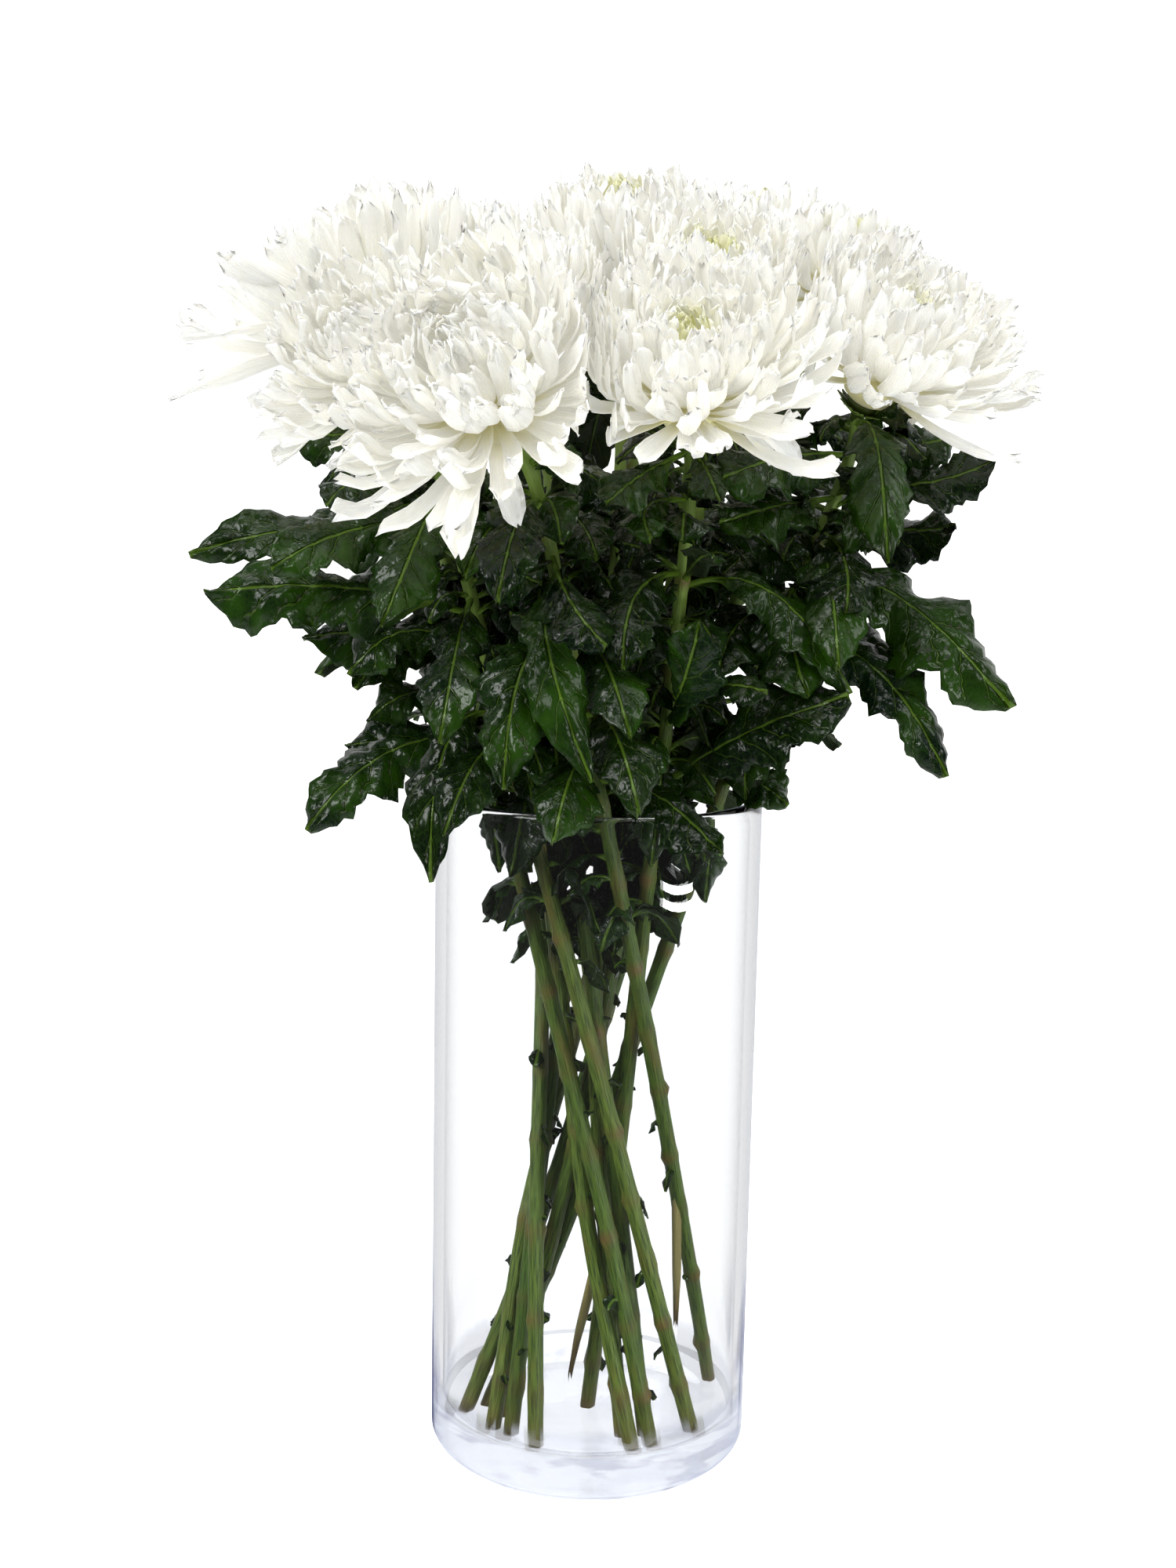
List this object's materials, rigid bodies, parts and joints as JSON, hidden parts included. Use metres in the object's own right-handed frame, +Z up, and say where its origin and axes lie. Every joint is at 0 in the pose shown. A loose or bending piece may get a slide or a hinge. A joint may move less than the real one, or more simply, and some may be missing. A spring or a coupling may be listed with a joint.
{
  "type": "chrysanthemum bouquet in glass vase",
  "caption": "White long-stemmed chrysanthemums with lobed leaves, crossed in a spiral and standing in a clear straight glass cylinder vase",
  "frame": {"origin": "centre of the vase's flat underside", "axes": "+Z up along the vase's axis, -Y toward the pictured side, +X to the right in the picture"},
  "size_m": [0.3492, 0.3285, 0.5703],
  "materials": {
    "glass": "polished",
    "petals": "matte",
    "leaves": "satin"
  },
  "bodies": {
    "root": {"vase": "glass", "bloom_a": "petals", "bloom_b": "petals", "bloom_c": "petals", "bloom_d": "petals", "bloom_e": "petals", "bloom_f": "petals", "bloom_g": "petals", "bloom_h": "petals", "bloom_i": "petals", "bloom_j": "petals", "bloom_k": "petals", "bloom_l": "petals", "bloom_m": "petals", "stem_a": "leaves", "stem_b": "leaves", "stem_c": "leaves", "stem_d": "leaves", "stem_e": "leaves", "stem_f": "leaves", "stem_g": "leaves", "stem_h": "leaves", "stem_i": "leaves", "stem_j": "leaves", "stem_k": "leaves", "stem_l": "leaves", "stem_m": "leaves"}
  },
  "joints": []
}
